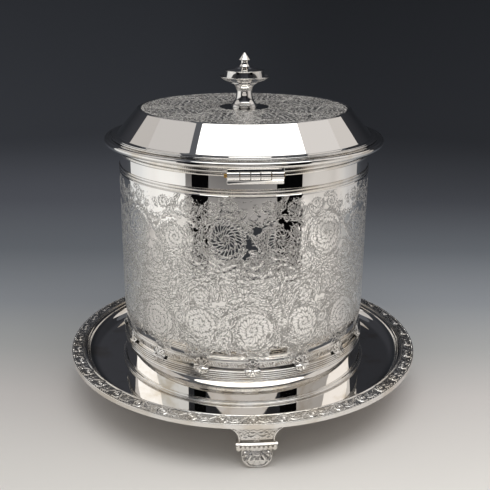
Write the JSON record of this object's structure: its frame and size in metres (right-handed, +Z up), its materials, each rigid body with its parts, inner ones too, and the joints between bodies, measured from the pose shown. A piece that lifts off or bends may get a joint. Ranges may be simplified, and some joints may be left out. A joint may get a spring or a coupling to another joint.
{
  "type": "biscuit barrel",
  "caption": "Round silver-plated biscuit barrel with a hinged domed lid and a knob, on a pedestal fixed in a round tray with shell feet.",
  "frame": {"origin": "on the barrel's axis, level with the soles of the feet", "axes": "+Z up along the barrel's axis, -Y towards the hinge, +X along the hinge's pin"},
  "size_m": [0.23, 0.23, 0.2194],
  "materials": {
    "silver_polished": "polished silver plate",
    "silver_chased": "flat-chased silver plate with darkened recesses",
    "silver_cast": "cast and chased silver plate",
    "silver_inside": "satin silver plate",
    "brass": "turned brass"
  },
  "bodies": {
    "barrel": {"tray_dish": "silver_polished", "tray_border": "silver_cast", "foot_hinge_side": "silver_cast", "foot_right": "silver_cast", "foot_left": "silver_cast", "stand_washer": "brass", "stand_nut": "brass", "pedestal": "silver_polished", "base_wire": "silver_polished", "milled_ring": "silver_polished", "waist_band": "silver_cast", "body_shell": "silver_chased", "body_bottom": "silver_inside", "stand_stud": "brass", "shoulder_wire": "silver_polished", "mouth_wire": "silver_polished", "hinge_body_leaf": "silver_polished", "hinge_pin": "brass"},
    "lid": {"lid_cover": "silver_chased", "lid_collar": "silver_polished", "lid_bezel": "silver_inside", "lid_mouth_wire": "silver_polished", "lid_rim_wire": "silver_polished", "lid_crown_wire": "silver_polished", "hinge_lid_leaf": "silver_polished", "knob_stem": "silver_polished", "knob_saucer": "silver_polished", "knob_cup": "silver_polished", "knob_tip": "silver_polished", "knob_washer": "brass", "knob_nut": "brass"}
  },
  "joints": [
    {"name": "lid_hinge", "type": "hinge", "parent": "barrel", "child": "lid", "pos_m": [0, -0.084, 0.16215], "axis": [1, 0, 0], "range_deg": [0, 105]}
  ]
}
